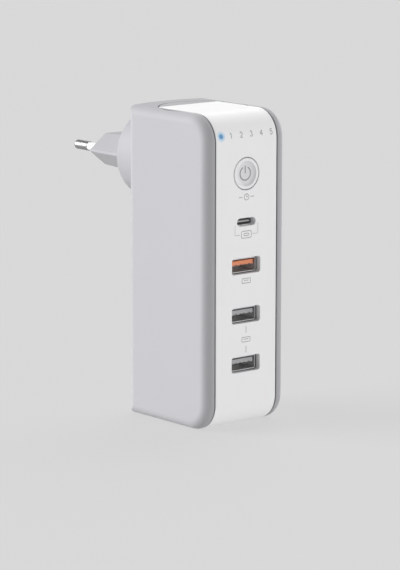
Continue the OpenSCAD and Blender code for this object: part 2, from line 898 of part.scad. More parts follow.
// Six-sided outline of the plug's head, corner points only
function head_points(grow) = let (
        w = head_w / 2 + grow,
        h = head_h / 2 + grow)
    [[-w, 0], [head_slant - w, h], [w - head_slant, h],
        [w, 0], [w - head_slant, -h], [head_slant - w, -h]];
head_edge_r = 0.9;
base_edge_r = 1;
base_floor = 3;
base_wall = 2;

module head_balls(grow, y) {
    for (p = head_points(grow - head_edge_r)) translate([p[0], y, plug_z + p[1]])
        sphere(head_edge_r, $fn = 24);
}

module plug_head() {
    color("silver") difference() {
        union() {
            // Round base, hollowed to sit on the bowed back
            difference() {
                translate([0, base_y, plug_z]) rotate([90, 0, 0]) rotate_extrude()
                    edge_section(base_d / 2, base_y - side_end_y, base_edge_r);
                translate([0, bore_ease, 0]) panel_outside();
            }
            bar_y(spigot_r, panel_y, rear_y + 1, 0, plug_z);
            hull() {
                head_balls(head_draft, base_y - 2);
                head_balls(0, face_y - head_edge_r);
            }
        }
        // Hollow of the base, round the two pin bosses
        difference() {
            bar_y(spigot_r - base_wall, panel_y - 1, base_y - base_floor, 0, plug_z);
            for (x = [-1, 1])
                bar_y(pin_boss_r, panel_y - 2, base_y, x * pin_pitch / 2, plug_z);
        }
        for (x = [-1, 1]) {
            bar_y(shank_r + bore_ease, panel_y - 1, face_y + 1, x * pin_pitch / 2, plug_z);
            bar_y(sleeve_d / 2 + bore_ease, face_y - sleeve_seat, face_y + 1,
                x * pin_pitch / 2, plug_z);
        }
    }
}

contact_plate_w = 4;
contact_plate_h = 5;
contact_plate_t = 1.2;
pin_tip_r = 1.2;

// One pin: side is -1 for the left one, seen from the front, and 1 for the right one
module pin(side) {
    len = pin_len - sleeve_len;
    color("lightgray") translate([side * pin_pitch / 2, 0, plug_z]) {
        bar_y(shank_r, mains_back + contact_plate_t, face_y + sleeve_len + 0.1);
        translate([0, face_y + pin_len, 0]) rotate([90, 0, 0]) rotate_extrude()
            edge_section(pin_d / 2, len, pin_tip_r);
    }
}

module sleeve(side) {
    color("white") translate([side * pin_pitch / 2, 0, plug_z]) difference() {
        bar_y(sleeve_d / 2, face_y - sleeve_seat, face_y + sleeve_len);
        bar_y(shank_r + bore_ease, face_y - sleeve_seat - 1, face_y + sleeve_len + 1);
    }
}

module mains_contacts() {
    color("peru") for (x = [-1, 1])
        block_y(contact_plate_w, contact_plate_h, mains_back, mains_back + contact_plate_t,
            x * pin_pitch / 2, plug_z);
}

rear_housing();
rear_panel();
front_cover();
indicator_lens();
light_guide();
power_button();
switch_plunger();
tact_switch();
status_leds();
control_board();
board_header();
socket_board();
usb_c_shell();
usb_c_tongue();
usb_a_shell(1);  // usb_a_shell_1
usb_a_shell(2);  // usb_a_shell_2
usb_a_shell(3);  // usb_a_shell_3
usb_a_tongue(1);  // usb_a_tongue_1
usb_a_tongue(2);  // usb_a_tongue_2
usb_a_tongue(3);  // usb_a_tongue_3
usb_a_contacts(1);  // usb_a_contacts_1
usb_a_contacts(2);  // usb_a_contacts_2
usb_a_contacts(3);  // usb_a_contacts_3
charge_chips();
mains_board();
power_link();
transformer_core();
transformer_bobbin();
transformer_winding();
bulk_capacitors();
output_capacitors();
suppression_capacitor();
safety_capacitor();
line_choke();
input_fuse();
bridge_rectifier();
heat_sink();
power_transistor();
optocoupler();
board_screws();
plug_head();
pin(-1);  // pin_left
pin(1);  // pin_right
sleeve(-1);  // sleeve_left
sleeve(1);  // sleeve_right
mains_contacts();
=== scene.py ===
# Desktop smart charger: finishes, print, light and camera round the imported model.
# Lengths in the dictionaries are millimetres unless a name says otherwise.
import json
import math

import bpy
import numpy as np
from mathutils import Matrix, Vector

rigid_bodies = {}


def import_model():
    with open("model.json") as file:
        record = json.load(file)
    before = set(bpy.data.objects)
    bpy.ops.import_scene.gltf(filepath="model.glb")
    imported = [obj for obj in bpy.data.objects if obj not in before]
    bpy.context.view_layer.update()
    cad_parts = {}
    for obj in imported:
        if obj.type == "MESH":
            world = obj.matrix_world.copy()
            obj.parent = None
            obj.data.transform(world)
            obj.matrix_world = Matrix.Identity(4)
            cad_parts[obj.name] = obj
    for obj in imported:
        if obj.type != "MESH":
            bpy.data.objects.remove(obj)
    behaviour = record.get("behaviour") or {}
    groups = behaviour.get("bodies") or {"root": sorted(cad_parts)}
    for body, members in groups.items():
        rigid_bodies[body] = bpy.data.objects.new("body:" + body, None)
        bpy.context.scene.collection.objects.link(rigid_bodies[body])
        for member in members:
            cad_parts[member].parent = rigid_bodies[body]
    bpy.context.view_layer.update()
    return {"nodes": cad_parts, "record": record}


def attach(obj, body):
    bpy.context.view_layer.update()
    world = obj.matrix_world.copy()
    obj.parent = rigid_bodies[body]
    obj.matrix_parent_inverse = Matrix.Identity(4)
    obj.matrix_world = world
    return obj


for old in list(bpy.data.objects):
    bpy.data.objects.remove(old, do_unlink=True)

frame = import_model()
scene = bpy.context.scene
mm = 0.001

# Places that the print and the painted glow share with the model; the lens is mark 0 of the row, and
# rowMiddle is the mark number at x = 0
layout = {
    "frontY": -27.0,
    "cornerRadius": 11.5,
    "height": 130.0,
    "rowZ": 121.3,
    "rowPitch": 5.3,
    "rowMiddle": 2.5,
    "buttonZ": 105.2,
    "dishDepth": 0.9,
    "socketZ": (67.4, 47.0, 26.6),
}


# View and light

view = {
    "yaw": math.radians(-39.750),
    "pitch": math.radians(10.512),
    "roll": math.radians(0.073),
    "distance": 1195.2,
    "target": (0.0, -3.0, 65.0),
    "across": 3.497,
    "up": 8.909,
    "focalPixels": 2890.9,
    "imageHeight": 570.0,
    "sensor": 36.0,
    "nearest": 50.0,
    "farthest": 60000.0,
}


def makeCamera(v):
    # The camera looks back along its own third axis; across and up slide it in its own plane
    cosPitch = math.cos(v["pitch"])
    back = Vector((math.sin(v["yaw"]) * cosPitch, -math.cos(v["yaw"]) * cosPitch, math.sin(v["pitch"])))
    right = Vector((0, 0, 1)).cross(back).normalized()
    up = back.cross(right)
    turn = Matrix.Rotation(v["roll"], 3, back)
    right = turn @ right
    up = turn @ up
    place = Vector(v["target"]) + back * v["distance"] - right * v["across"] - up * v["up"]
    data = bpy.data.cameras.new("portraitCamera")
    data.sensor_width = v["sensor"]
    data.lens = v["focalPixels"] * v["sensor"] / v["imageHeight"]
    data.clip_start = v["nearest"] * mm
    data.clip_end = v["farthest"] * mm
    camera = bpy.data.objects.new("portraitCamera", data)
    axes = Matrix((right, up, back)).transposed()
    camera.matrix_world = Matrix.Translation(place * mm) @ axes.to_4x4()
    scene.collection.objects.link(camera)
    scene.camera = camera


lights = {
    "key": {"strength": 1.45, "turn": -129.0, "rise": 17.0},
    "rim": {"strength": 0.47, "turn": 120.0, "rise": 46.0},
    "side": {"strength": 0.54, "turn": 80.0, "rise": 3.0},
    "fill": {"strength": 0.52, "turn": 16.0, "rise": 4.0},
    "spread": 50.0,
    "sky": 0.25,
    "backdrop": 0.694,
}


def makeLights(v):
    # Four wide soft suns; turn is counted from the front towards the right, and rise upwards
    for name in ("key", "rim", "side", "fill"):
        turn, rise = math.radians(v[name]["turn"]), math.radians(v[name]["rise"])
        level = math.cos(rise)
        source = Vector((level * math.sin(turn), -level * math.cos(turn), math.sin(rise)))
        data = bpy.data.lights.new(name, "SUN")
        data.energy = v[name]["strength"] * math.pi
        data.angle = math.radians(v["spread"])
        lamp = bpy.data.objects.new(name, data)
        lamp.rotation_euler = source.to_track_quat("Z", "Y").to_euler()
        scene.collection.objects.link(lamp)
    # The room is dim grey, and shows behind the floor in the floor's own tone
    world = bpy.data.worlds.new("studio")
    world.use_nodes = True
    nodes, links = world.node_tree.nodes, world.node_tree.links
    room = nodes["Background"]
    room.inputs["Color"].default_value = (1, 1, 1, 1)
    room.inputs["Strength"].default_value = v["sky"]
    behind = nodes.new("ShaderNodeBackground")
    behind.inputs["Color"].default_value = (1, 1, 1, 1)
    behind.inputs["Strength"].default_value = v["backdrop"]
    choice = nodes.new("ShaderNodeMixShader")
    links.new(nodes.new("ShaderNodeLightPath").outputs["Is Camera Ray"], choice.inputs[0])
    links.new(room.outputs[0], choice.inputs[1])
    links.new(behind.outputs[0], choice.inputs[2])
    links.new(choice.outputs[0], nodes["World Output"].inputs["Surface"])
    scene.world = world
    scene.view_settings.view_transform = "Standard"


makeCamera(view)
makeLights(lights)
print("stage: camera and light set")


# Finishes


class Wire:
    # One output of a material's nodes; arithmetic on it adds Math nodes
    def __init__(self, finish, socket):
        self.finish = finish
        self.socket = socket

    def calc(self, operation, *values):
        given = {number: value for number, value in enumerate(values)}
        return self.finish.node("Math", {"operation": operation}, given)

    def __add__(self, other):
        return self.calc("ADD", self, other)

    def __sub__(self, other):
        return self.calc("SUBTRACT", self, other)

    def __rsub__(self, other):
        return self.calc("SUBTRACT", other, self)

    def __mul__(self, other):
        return self.calc("MULTIPLY", self, other)

    __radd__ = __add__
    __rmul__ = __mul__

    def power(self, other):
        return self.calc("POWER", self, other)

    def size(self):
        return self.calc("ABSOLUTE", self)

    def wave(self):
        return self.calc("SINE", self)

    def between(self, low, high):
        # 0 at low and 1 at high, eased at both ends; low may be the larger one
        values = {"Value": self, "From Min": low, "From Max": high}
        return self.finish.node("MapRange", {"interpolation_type": "SMOOTHSTEP"}, values)


class Finish:
    # A material with a Principled shader; place is the point on the piece in millimetres
    def __init__(self, name, **shader):
        self.material = bpy.data.materials.new(name)
        self.material.use_nodes = True
        self.tree = self.material.node_tree
        self.tree.nodes.clear()
        self.output = self.tree.nodes.new("ShaderNodeOutputMaterial")
        self.shader = self.tree.nodes.new("ShaderNodeBsdfPrincipled")
        self.tree.links.new(self.shader.outputs[0], self.output.inputs["Surface"])
        self.feed(self.shader, shader)
        self.place = self.node("VectorMath", {"operation": "SCALE"},
            {0: self.node("TexCoord", {}, {}, "Object"), "Scale": 1.0 / mm})

    def feed(self, node, values):
        for key, value in values.items():
            target = node.inputs[key.replace("_", " ") if isinstance(key, str) else key]
            if isinstance(value, Wire):
                self.tree.links.new(value.socket, target)
            else:
                target.default_value = value

    def node(self, kind, settings, values, out=0):
        made = self.tree.nodes.new("ShaderNode" + kind)
        for name, value in settings.items():
            setattr(made, name, value)
        self.feed(made, values)
        return Wire(self, made.outputs[out])

    def axes(self):
        return [self.node("SeparateXYZ", {}, {0: self.place}, axis) for axis in range(3)]

    def reach(self, first, second):
        # Distance from a point, given the two ways to it: the root of the sum of their squares
        return (first * first + second * second).power(0.5)

    def noise(self, pitch, detail=2.0, stretch=(1.0, 1.0, 1.0), rough=0.5):
        # Cloudy pattern whose features are about pitch millimetres across
        scaled = self.node("VectorMath", {"operation": "MULTIPLY"}, {0: self.place, 1: stretch})
        values = {"Vector": scaled, "Scale": 1.0 / pitch, "Detail": detail, "Roughness": rough}
        return self.node("TexNoise", {}, values)

    def blend(self, mask, first, second):
        # Colour: first where the mask is 0, second where it is 1
        values = {0: mask, 6: first, 7: second}
        return self.node("Mix", {"data_type": "RGBA"}, values, 2)

    def bump(self, height, depth):
        return self.node("Bump", {}, {"Height": height, "Distance": depth * mm})

    def give(self, **values):
        self.feed(self.shader, values)
        return self


def tone(colour, factor=1.0):
    return tuple(min(1.0, part * factor) for part in colour) + (1.0,)


# What a moulding or a metal has unless its own dictionary says otherwise
usualMoulding = {"specular": 0.5, "coat": 0.0, "coatRough": 0.1, "driftPitch": 22.0, "glossPitch": 6.0}
usualMetal = {"metal": 1.0, "cloudPitch": 3.0, "darkest": 0.9, "palest": 1.08}


def moulding(name, look):
    # Moulded plastic: a slow drift of tone and gloss, and the fine grain of the mould
    v = dict(usualMoulding, **look)
    made = Finish(name, Specular_IOR_Level=v["specular"], Coat_Roughness=v["coatRough"])
    drift = made.noise(v["driftPitch"])
    grain = made.noise(v["grainPitch"], detail=3.0, rough=0.6)
    gloss = made.noise(v["glossPitch"], detail=3.0)
    made.base = made.blend(drift, tone(v["colour"], 1 - v["drift"]), tone(v["colour"], 1 + v["drift"]))
    made.give(Base_Color=made.base, Roughness=v["rough"] + (gloss - 0.5) * v["glossDrift"])
    return made.give(Normal=made.bump(grain, v["grainDepth"]), Coat_Weight=v["coat"])


def sheetMetal(name, look):
    # Drawn or plated metal: streaks along one axis and small spots in the gloss
    v = dict(usualMetal, **look)
    made = Finish(name, Metallic=v["metal"])
    streaks = made.noise(v["pitch"], detail=4.0, stretch=v["stretch"], rough=0.6)
    cloud = made.noise(v["cloudPitch"], detail=3.0)
    base = made.blend(cloud, tone(v["colour"], v["darkest"]), tone(v["colour"], v["palest"]))
    made.give(Base_Color=base, Roughness=v["rough"] + (streaks - 0.5) * v["glossDrift"])
    return made.give(Normal=made.bump(streaks, v["depth"]))


shellLook = {
    "colour": (0.416, 0.413, 0.432), "drift": 0.012, "rough": 0.55, "glossDrift": 0.06,
    "grainPitch": 0.16, "grainDepth": 0.004, "specular": 0.18,
    # The groove entries place painted shade, a dark line, along the groove on the top
    "grooveShadeColour": (0.20, 0.20, 0.21, 1.0), "grooveRadius": 18.4, "grooveY": 0.25, "grooveHalf": 0.34,
    "grooveFade": 0.14, "grooveTop": 129.3, "grooveTopFade": 0.1,
}
coverLook = {
    "colour": (0.91, 0.91, 0.915), "drift": 0.006, "rough": 0.40, "glossDrift": 0.04,
    "grainPitch": 0.5, "grainDepth": 0.0012, "specular": 0.12,
    # The glow entries paint the lens's blue light onto the cover round it
    "paintedGlowColour": (0.36, 0.62, 0.85, 1.0), "glowRadius": 2.6, "glowStart": 0.8, "glowDepth": 0.85,
    # The wall entries paint shade on the cover's side walls in the gap
    "wallShadeColour": (0.33, 0.33, 0.34, 1.0), "wallStart": 15.95, "wallEnd": 16.15,
}
capLook = {
    "colour": (0.90, 0.90, 0.905), "drift": 0.006, "rough": 0.40, "glossDrift": 0.05,
    "grainPitch": 0.4, "grainDepth": 0.0015, "specular": 0.2,
    "hollowColour": (0.76, 0.76, 0.775), "hollowRadius": 5.15, "hollowFade": 0.15,
}
lensLook = {
    "edgeColour": (0.13, 0.36, 0.62, 1.0), "coreColour": (0.10, 0.28, 0.50, 1.0),
    "edgeLight": (0.02, 0.08, 0.2, 1.0), "coreLight": (0.02, 0.10, 0.20, 1.0), "strength": 0.25,
    "coreRadius": 0.35, "edgeRadius": 0.9, "rough": 0.22, "glossDrift": 0.06, "glossPitch": 0.4,
    "coat": 0.4, "coatRough": 0.08,
}


def shellFinish(v):
    # The housing's grey, with painted shade, a dark line, along the curved groove on the top: near a
    # circle, and only above grooveTop
    made = moulding("shellGrey", v)
    x, y, z = made.axes()
    offLine = (made.reach(x, y - v["grooveY"]) - v["grooveRadius"]).size()
    grooveShade = offLine.between(v["grooveHalf"] + v["grooveFade"], v["grooveHalf"] - v["grooveFade"])
    top = z.between(v["grooveTop"] - v["grooveTopFade"], v["grooveTop"])
    return made.give(Base_Color=made.blend(grooveShade * top, made.base, v["grooveShadeColour"]))


def lensReach(made):
    # Distance across the front from the middle of the lens
    x, y, z = made.axes()
    return made.reach(x + layout["rowMiddle"] * layout["rowPitch"], z - layout["rowZ"])


def coverFinish(v):
    # The cover's white, with a painted blue glow round the lit lens, a disc that fades with the distance
    # from it, and painted shade, a dark grey, on its side walls in the gap
    made = moulding("coverWhite", v)
    # Painted light: the lens's blue glow, strongest near the lens
    glow = lensReach(made).between(v["glowRadius"], v["glowStart"]) * v["glowDepth"]
    # Painted shade: the cover's side walls in the gap are given a dark grey
    wallShade = made.axes()[0].size().between(v["wallStart"], v["wallEnd"])
    white = made.blend(glow, made.base, v["paintedGlowColour"])
    return made.give(Base_Color=made.blend(wallShade, white, v["wallShadeColour"]))


def capFinish(v):
    # The cap's rim is white, and the hollow in its middle is a shade greyer
    made = moulding("capWhite", v)
    x, y, z = made.axes()
    distance = made.reach(x, z - layout["buttonZ"])
    hollow = distance.between(v["hollowRadius"] + v["hollowFade"], v["hollowRadius"] - v["hollowFade"])
    return made.give(Base_Color=made.blend(hollow, made.base, tone(v["hollowColour"])))


blockLook = {"y": -16.2, "fade": 0.05, "colour": (0.7, 0.7, 0.7)}


def tongueFinish(name, v):
    # The blade has its own colour, and the block behind it, at the end of the mouth, is grey
    made = moulding(name, v)
    block = made.axes()[1].between(blockLook["y"] - blockLook["fade"], blockLook["y"] + blockLook["fade"])
    return made.give(Base_Color=made.blend(block, made.base, tone(blockLook["colour"])))


def lensFinish(v):
    # A clear blue lens, brightest in the middle, where the light chip stands behind it
    made = Finish("lensBlue", Coat_Weight=v["coat"], Coat_Roughness=v["coatRough"])
    core = lensReach(made).between(v["edgeRadius"], v["coreRadius"])
    made.give(Emission_Strength=v["strength"])
    made.give(Base_Color=made.blend(core, v["edgeColour"], v["coreColour"]))
    made.give(Roughness=v["rough"] + made.noise(v["glossPitch"]) * v["glossDrift"])
    return made.give(Emission_Color=made.blend(core, v["edgeLight"], v["coreLight"]))


def boardFinish(v):
    # Solder mask over a grid of tracks, with tinned pads where the tracks cross
    made = Finish("boardGreen", Coat_Weight=v["coat"], Coat_Roughness=v["coatRough"])
    x, y, z = made.axes()
    turn = math.pi / v["trackPitch"]
    trackX, trackZ = [(along * turn).wave().size().between(*v["trackEdges"]) for along in (x, z)]
    patch = made.noise(v["patchPitch"], detail=1.0).between(*v["patchEdges"])
    track = patch * trackX + (1 - patch) * trackZ
    pad = (trackX * trackZ * made.noise(v["padPitch"], detail=0.0)).between(*v["padEdges"])
    mask = made.blend(track, v["maskColour"], v["trackColour"])
    made.give(Base_Color=made.blend(pad, mask, v["padColour"]), Metallic=pad * v["padMetal"])
    made.give(Roughness=v["maskRough"] - pad * v["padPolish"])
    return made.give(Normal=made.bump(track + pad, v["trackDepth"]))


wireLook = {
    # between is the colour factor of painted shade in the creases between turns
    "driftPitch": 1.6, "dark": 0.8, "pale": 1.15, "between": 0.35,
    "rough": 0.34, "glossDrift": 0.1, "depth": 0.4, "varnishRough": 0.2,
}


def windingFinish(name, v):
    # Turns of wire side by side along one axis: each turn is one arch of a sine, and the colour is
    # darkened towards the dip between turns as painted shade in the creases
    made = Finish(name, Coat_Weight=v["varnish"], Coat_Roughness=wireLook["varnishRough"])
    along = made.axes()[v["axis"]]
    arch = (along * (math.pi / v["wire"])).wave().size()
    drift = made.noise(wireLook["driftPitch"])
    turn = made.blend(drift, tone(v["colour"], wireLook["dark"]), tone(v["colour"], wireLook["pale"]))
    base = made.blend(arch, tone(v["colour"], wireLook["between"]), turn)
    made.give(Base_Color=base, Metallic=v["metal"])
    made.give(Roughness=wireLook["rough"] + drift * wireLook["glossDrift"])
    return made.give(Normal=made.bump(arch, v["wire"] * wireLook["depth"]))


def turnedFinish(name, v):
    # Turned and plated bar: fine rings along Y and light wear spots
    made = Finish(name, Metallic=1.0)
    y = made.axes()[1]
    wander = made.noise(v["wanderPitch"]) * v["wander"]
    rings = (y * (2 * math.pi / v["ringPitch"]) + wander).wave()
    cloud = made.noise(v["cloudPitch"], detail=4.0)
    made.give(Base_Color=made.blend(cloud, tone(v["colour"], v["dark"]), tone(v["colour"], v["pale"])))
    made.give(Roughness=v["rough"] + (cloud - 0.5) * v["glossDrift"] + rings * v["ringGloss"])
    return made.give(Normal=made.bump(rings, v["ringDepth"]))


# Finishes that need only colours, sizes and gloss
insideLook = {
    "blackMould": {"colour": (0.035, 0.035, 0.04), "drift": 0.1, "rough": 0.5, "glossDrift": 0.1,
        "grainPitch": 0.2, "grainDepth": 0.006},
    "ferrite": {"colour": (0.075, 0.075, 0.085), "drift": 0.2, "rough": 0.6, "glossDrift": 0.2,
        "grainPitch": 0.35, "grainDepth": 0.012},
    "canSleeve": {"colour": (0.03, 0.04, 0.09), "drift": 0.1, "rough": 0.24, "glossDrift": 0.1,
        "grainPitch": 1.4, "grainDepth": 0.012, "coat": 0.5},
    "boxCapacitor": {"colour": (0.78, 0.55, 0.08), "drift": 0.05, "rough": 0.4, "glossDrift": 0.1,
        "grainPitch": 0.3, "grainDepth": 0.006},
    "blueDisc": {"colour": (0.06, 0.20, 0.52), "drift": 0.12, "rough": 0.3, "glossDrift": 0.12,
        "grainPitch": 1.8, "grainDepth": 0.05, "coat": 0.3},
    "fuseBody": {"colour": (0.60, 0.44, 0.26), "drift": 0.08, "rough": 0.42, "glossDrift": 0.1,
        "grainPitch": 0.5, "grainDepth": 0.01},
    "whiteMould": {"colour": (0.76, 0.75, 0.71), "drift": 0.04, "rough": 0.45, "glossDrift": 0.08,
        "grainPitch": 0.25, "grainDepth": 0.006},
    "orangeTongue": {"colour": (0.78, 0.27, 0.13), "drift": 0.04, "rough": 0.42, "glossDrift": 0.06,
        "grainPitch": 0.25, "grainDepth": 0.004},
    "greyTongue": {"colour": (0.40, 0.40, 0.405), "drift": 0.05, "rough": 0.42, "glossDrift": 0.06,
        "grainPitch": 0.25, "grainDepth": 0.004},
    "sleeveWhite": {"colour": (0.86, 0.86, 0.865), "drift": 0.01, "rough": 0.28, "glossDrift": 0.06,
        "grainPitch": 0.4, "grainDepth": 0.002, "coat": 0.2},
}
metalLook = {
    "platedShell": {"colour": (0.70, 0.70, 0.71), "metal": 0.75, "rough": 0.36, "glossDrift": 0.14,
        "pitch": 0.5, "stretch": (1.0, 0.15, 1.0), "depth": 0.003},
    "sinkMetal": {"colour": (0.74, 0.74, 0.76), "rough": 0.38, "glossDrift": 0.2, "pitch": 0.4,
        "stretch": (1.0, 1.0, 0.08), "depth": 0.006},
    "screwSteel": {"colour": (0.58, 0.58, 0.60), "rough": 0.32, "glossDrift": 0.16, "pitch": 0.6,
        "stretch": (1.0, 0.4, 1.0), "depth": 0.004},
    "contactGold": {"colour": (0.66, 0.58, 0.42), "rough": 0.22, "glossDrift": 0.12, "pitch": 0.3,
        "stretch": (1.0, 0.2, 1.0), "depth": 0.002},
    "contactBrass": {"colour": (0.74, 0.55, 0.26), "rough": 0.34, "glossDrift": 0.16, "pitch": 0.5,
        "stretch": (1.0, 1.0, 0.2), "depth": 0.004},
}
specialLook = {
    "board": {"maskColour": (0.012, 0.11, 0.045, 1.0), "trackColour": (0.03, 0.20, 0.08, 1.0),
        "padColour": (0.70, 0.70, 0.68, 1.0), "trackPitch": 1.27, "trackEdges": (0.42, 0.294),
        "patchPitch": 4.0, "patchEdges": (0.48, 0.52), "padPitch": 2.1, "padEdges": (0.52, 0.6),
        "padMetal": 0.9, "maskRough": 0.42, "padPolish": 0.12, "trackDepth": 0.03, "coat": 0.3,
        "coatRough": 0.2},
    "tape": {"colour": (0.72, 0.50, 0.06), "wire": 1.1, "axis": 0, "metal": 0.0, "varnish": 0.3},
    "choke": {"colour": (0.62, 0.27, 0.10), "wire": 0.6, "axis": 2, "metal": 0.8, "varnish": 0.5},
    "pin": {"colour": (0.31, 0.31, 0.315), "dark": 0.93, "pale": 1.06, "cloudPitch": 2.5,
        "rough": 0.40, "glossDrift": 0.08, "ringPitch": 0.5, "ringGloss": 0.015, "ringDepth": 0.0003,
        "wanderPitch": 1.2, "wander": 2.0},
    "guide": {"colour": (0.86, 0.88, 0.90), "drift": 0.01, "rough": 0.12, "glossDrift": 0.05,
        "grainPitch": 0.8, "grainDepth": 0.002, "clear": 0.8},
}
guideLook = specialLook["guide"]

finishes = {
    "grey_shell": shellFinish(shellLook),
    "white_cover": coverFinish(coverLook),
    "button_cap": capFinish(capLook),
    "lens": lensFinish(lensLook),
    "clear_guide": moulding("guideClear", guideLook).give(Transmission_Weight=guideLook["clear"]),
    "plated_shell": sheetMetal("platedShell", metalLook["platedShell"]),
    "orange_tongue": tongueFinish("orangeTongue", insideLook["orangeTongue"]),
    "grey_tongue": tongueFinish("greyTongue", insideLook["greyTongue"]),
    "contact_gold": sheetMetal("contactGold", metalLook["contactGold"]),
    "pin_metal": turnedFinish("pinPlated", specialLook["pin"]),
    "sleeve_white": moulding("sleeveWhite", insideLook["sleeveWhite"]),
    "board": boardFinish(specialLook["board"]),
    "black_mould": moulding("blackMould", insideLook["blackMould"]),
    "ferrite": moulding("ferrite", insideLook["ferrite"]),
    "winding_tape": windingFinish("windingTape", specialLook["tape"]),
    "can_sleeve": moulding("canSleeve", insideLook["canSleeve"]),
    "box_capacitor": moulding("boxCapacitor", insideLook["boxCapacitor"]),
    "blue_disc": moulding("blueDisc", insideLook["blueDisc"]),
    "choke_copper": windingFinish("chokeCopper", specialLook["choke"]),
    "fuse_body": moulding("fuseBody", insideLook["fuseBody"]),
    "sink_metal": sheetMetal("sinkMetal", metalLook["sinkMetal"]),
    "white_mould": moulding("whiteMould", insideLook["whiteMould"]),
    "screw_steel": sheetMetal("screwSteel", metalLook["screwSteel"]),
    "contact_brass": sheetMetal("contactBrass", metalLook["contactBrass"]),
}

for part in frame["record"]["subparts"]:
    node = frame["nodes"][part["node"]]
    node.data.materials.clear()
    node.data.materials.append(finishes[part["material_slot"]].material)
print("stage: finishes on", len(frame["nodes"]), "nodes")


# Print on the cover and the button

inkLook = {
    "colour": (0.30, 0.30, 0.31), "drift": 0.05, "rough": 0.42, "glossDrift": 0.1,
    "grainPitch": 0.25, "grainDepth": 0.002,
}
paleInkLook = dict(inkLook, colour=(0.38, 0.38, 0.39))
inkFinish = moulding("inkGrey", inkLook)
paleInkFinish = moulding("inkPale", paleInkLook)
# How a stroke is built: its height over the surface and depth under it, the points round each end,
# and the step between points along it
layer = {"raised": 0.015, "sunk": 0.03, "endPoints": 7, "endFrom": 4.0, "endTo": 84.0, "step": 0.12}


def arc(centre, radii, start, end, count=24):
    # Points on an ellipse between two angles in degrees
    angle = np.radians(np.linspace(start, end, count))
    return np.stack([centre[0] + radii[0] * np.cos(angle), centre[1] + radii[1] * np.sin(angle)], 1)


def evenly(line, step):
    # The same line with points at equal steps of its length, corners eased over three points
    line = np.asarray(line, float)
    lengths = np.concatenate([[0.0], np.cumsum(np.linalg.norm(np.diff(line, axis=0), axis=1))])
    count = max(4, int(lengths[-1] / step) + 1)
    at = np.linspace(0.0, lengths[-1], count)
    points = np.stack([np.interp(at, lengths, line[:, axis]) for axis in range(2)], 1)
    eased = points.copy()
    eased[1:-1] = 0.25 * points[:-2] + 0.5 * points[1:-1] + 0.25 * points[2:]
    return eased


def frontSurface(x, z, lift):
    # The cover's face: flat, then a quarter circle about the front corner's centre line
    r = layout["cornerRadius"]
    rise = np.maximum(z - (layout["height"] - r), 0.0)
    fall = np.sqrt(np.maximum(r * r - rise * rise, 0.0))
    outward = np.stack([np.zeros_like(x), -fall / r, rise / r], -1)
    face = np.stack([x, layout["frontY"] + r - fall, z], -1)
    return face + outward * lift


def dishSurface(x, z, lift):
    # The flat floor of the button's hollow
    outward = np.broadcast_to(np.array([0.0, -1.0, 0.0]), x.shape + (3,))
    face = np.stack([x, np.full_like(x, layout["frontY"] + layout["dishDepth"]), z], -1)
    return face + outward * lift


def strokeGrid(line, half, surface, closed, v):
    # A pen stroke on a surface: the line plus or minus the half width along its own normal. The half
    # width follows a half circle at each end, and four such edges make a closed flat bar.
    along = np.gradient(line, axis=0)
    if closed:
        along = np.roll(line, -1, 0) - np.roll(line, 1, 0)
    along /= np.linalg.norm(along, axis=1, keepdims=True)
    aside = np.stack([-along[:, 1], along[:, 0]], 1)
    width = np.full(len(line), half)
    if not closed:
        count = v["endPoints"]
        turns = np.radians(np.linspace(v["endFrom"], v["endTo"], count))
        ends = half * np.cos(turns)[:, None]
        first = line[0] - along[0] * ends
        last = line[-1] + along[-1] * ends[::-1]
        aside = np.concatenate([np.repeat(aside[:1], count, 0), aside, np.repeat(aside[-1:], count, 0)])
        line = np.concatenate([first, line, last])
        width = np.concatenate([half * np.sin(turns), width, half * np.sin(turns)[::-1]])
    left = line + aside * width[:, None]
    right = line - aside * width[:, None]
    edges = [(left, v["raised"]), (right, v["raised"]), (right, -v["sunk"]), (left, -v["sunk"])]
    return np.stack([surface(side[:, 0], side[:, 1], lift) for side, lift in edges], 1)


def gridFaces(rows, columns, start, closed):
    # Quads round the four edges of a bar, and a quad over each open end
    row = np.arange(rows if closed else rows - 1)[:, None]
    column = np.arange(columns)[None, :]
    here, onward = row * columns, (row + 1) % rows * columns
    beside = (column + 1) % columns
    quads = np.stack([here + column, onward + column, onward + beside, here + beside], -1)
    faces = quads.reshape(-1, 4)
    if not closed:
        lids = np.array([np.arange(columns), (rows - 1) * columns + np.arange(columns)[::-1]])
        faces = np.concatenate([faces, lids])
    return faces + start


def makePrint(name, strokes, surface, finish, body):
    # All the strokes of one print as one object
    points, faces, start = [], [], 0
    for stroke in strokes:
        closed = stroke.get("closed", False)
        line = evenly(stroke["line"], stroke.get("step", layer["step"]))
        if closed:
            line = line[:-1]
        grid = strokeGrid(line, stroke["half"], surface, closed, layer)
        faces.append(gridFaces(len(grid), 4, start, closed))
        points.append(grid.reshape(-1, 3))
        start += len(points[-1])
    mesh = bpy.data.meshes.new(name)
    mesh.from_pydata((np.concatenate(points) * mm).tolist(), [], np.concatenate(faces).tolist())
    mesh.update()
    mesh.materials.append(finish.material)
    piece = bpy.data.objects.new(name, mesh)
    scene.collection.objects.link(piece)
    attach(piece, body)
    return piece


